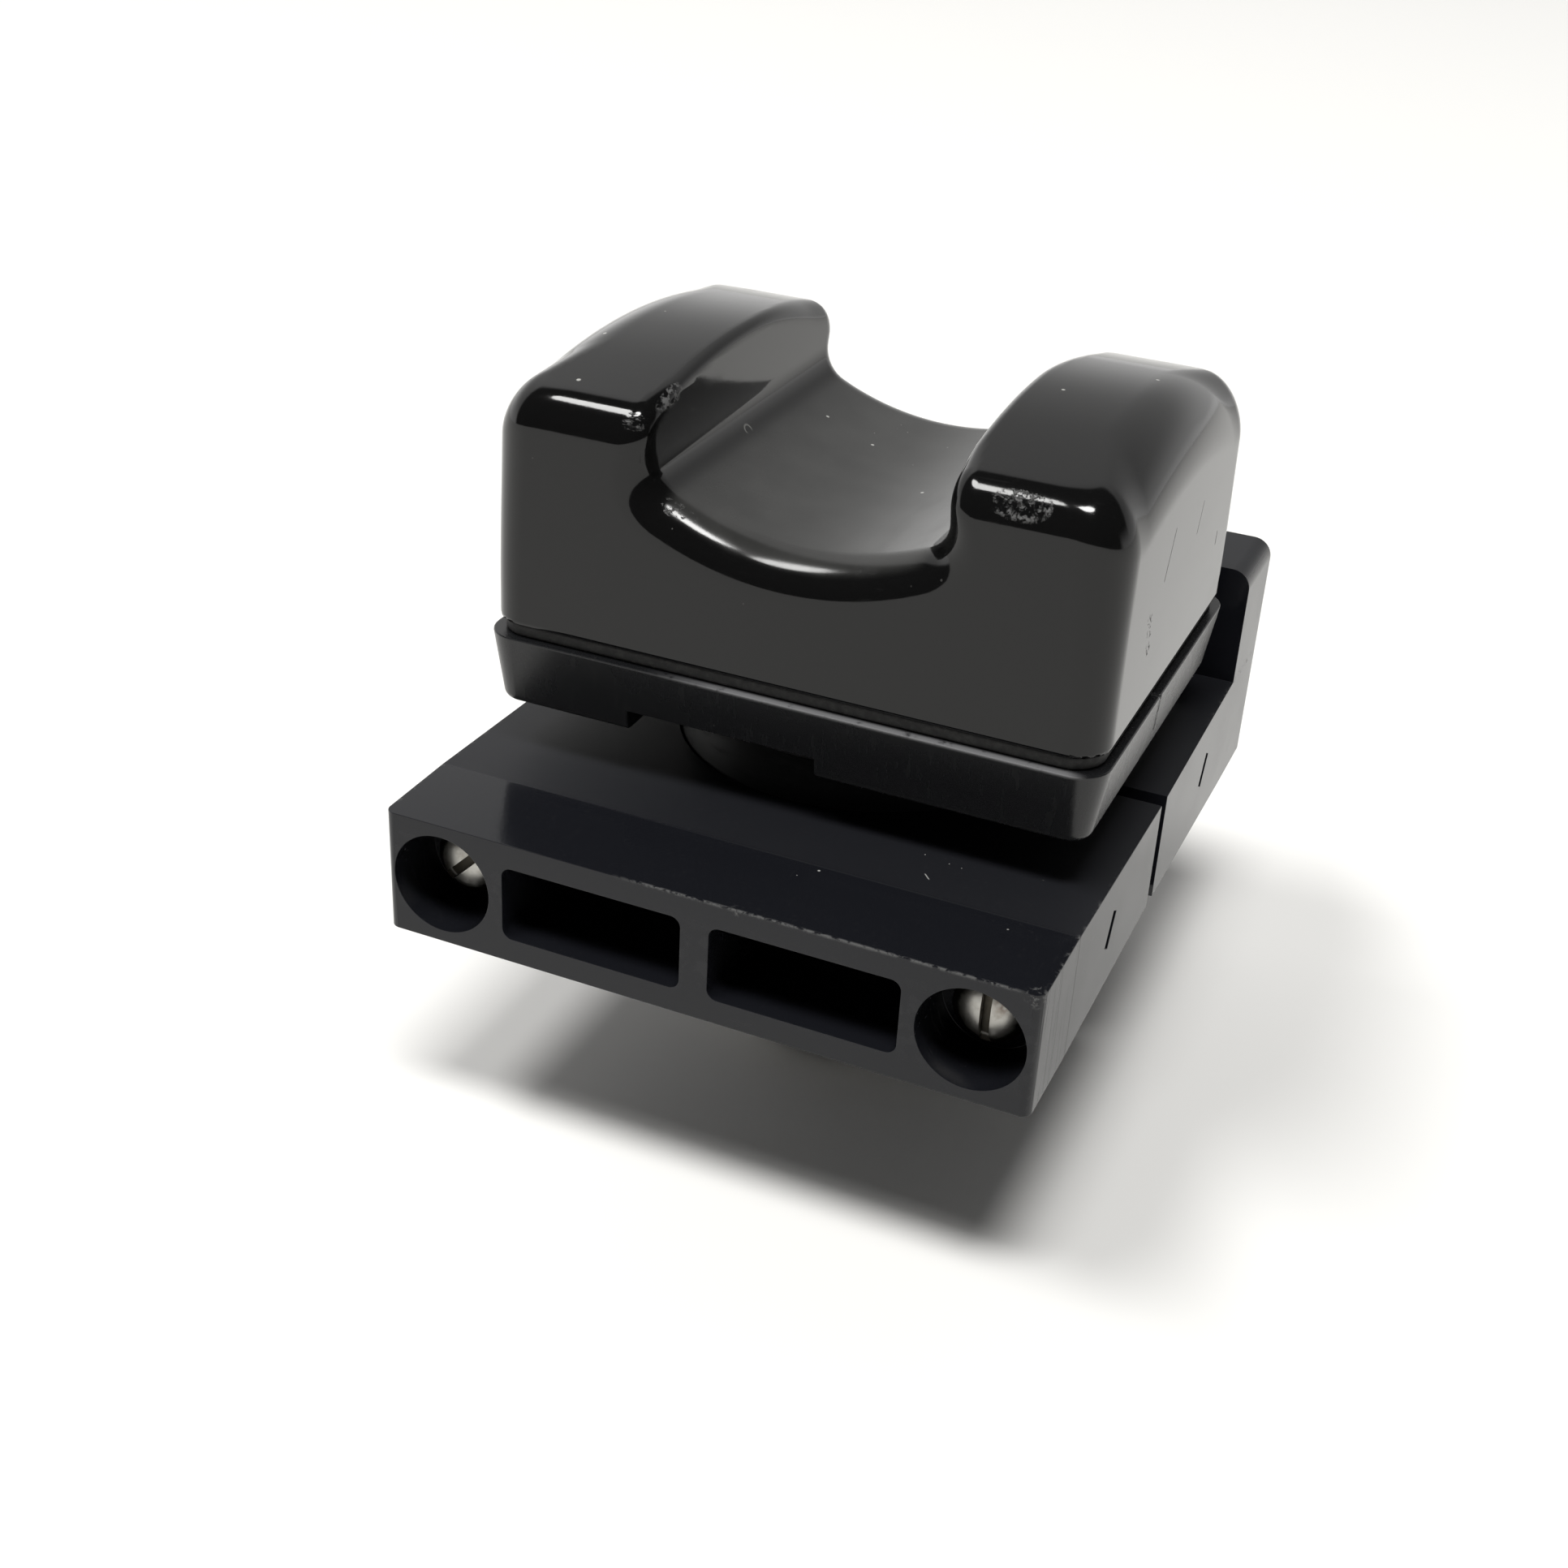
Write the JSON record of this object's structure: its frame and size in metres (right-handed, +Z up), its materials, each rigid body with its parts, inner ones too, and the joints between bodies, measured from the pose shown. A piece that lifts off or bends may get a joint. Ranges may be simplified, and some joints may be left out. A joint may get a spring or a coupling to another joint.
{
  "type": "optical touch switch",
  "caption": "Black optical touch switch with a finger valley between two towers, clamped by its swivel ball in a two-part plastic bracket with a mounting flange",
  "frame": {"origin": "on the floor, under the centre of the swivel ball and of the bracket", "axes": "+X along the width of the bracket, +Y towards the back of the flange, +Z up out of the finger valley"},
  "size_m": [0.0636, 0.0762, 0.0725],
  "materials": {
    "bracket_plastic": "satin",
    "housing_gloss": "gloss",
    "base_plastic": "satin",
    "ball_plastic": "satin",
    "soft_rubber": "matte",
    "plated_steel": "satin",
    "plated_shell": "satin",
    "insert_plastic": "matte",
    "contact_brass": "polished",
    "wire_jacket": "satin",
    "cast_resin": "satin",
    "circuit_board": "satin",
    "diode_clear": "gloss",
    "diode_dark": "gloss",
    "chip_black": "matte",
    "can_aluminium": "satin"
  },
  "bodies": {
    "bracket": {"bracket_front": "bracket_plastic", "bracket_rear": "bracket_plastic", "clamp_screws": "plated_steel", "clamp_washers": "plated_steel", "clamp_nuts": "plated_steel"},
    "ball": {"swivel_ball": "ball_plastic"},
    "switch": {"base": "base_plastic", "housing_seal": "soft_rubber", "upper_housing": "housing_gloss", "neck_seal": "soft_rubber", "lock_washer": "plated_steel", "lock_nut": "ball_plastic", "connector_shell": "plated_shell", "connector_seal": "soft_rubber", "connector_insert": "insert_plastic", "connector_pins": "contact_brass", "lead_wires": "wire_jacket", "neck_potting": "cast_resin", "main_board": "circuit_board", "emitter_board": "circuit_board", "receiver_board": "circuit_board", "emitter_diode": "diode_clear", "receiver_diode": "diode_dark", "board_headers": "insert_plastic", "controller_chip": "chip_black", "output_transistors": "chip_black", "capacitors": "can_aluminium"}
  },
  "joints": [
    {"name": "ball_tilt", "type": "hinge", "parent": "bracket", "child": "ball", "pos_m": [0, 0, 0.0275], "axis": [1, 0, 0], "range_deg": [-6.5, 6.5]},
    {"name": "switch_turn", "type": "hinge", "parent": "ball", "child": "switch", "pos_m": [0, 0, 0.0275], "axis": [0, 0, 1], "range_deg": [-6.5, 6.5]}
  ]
}
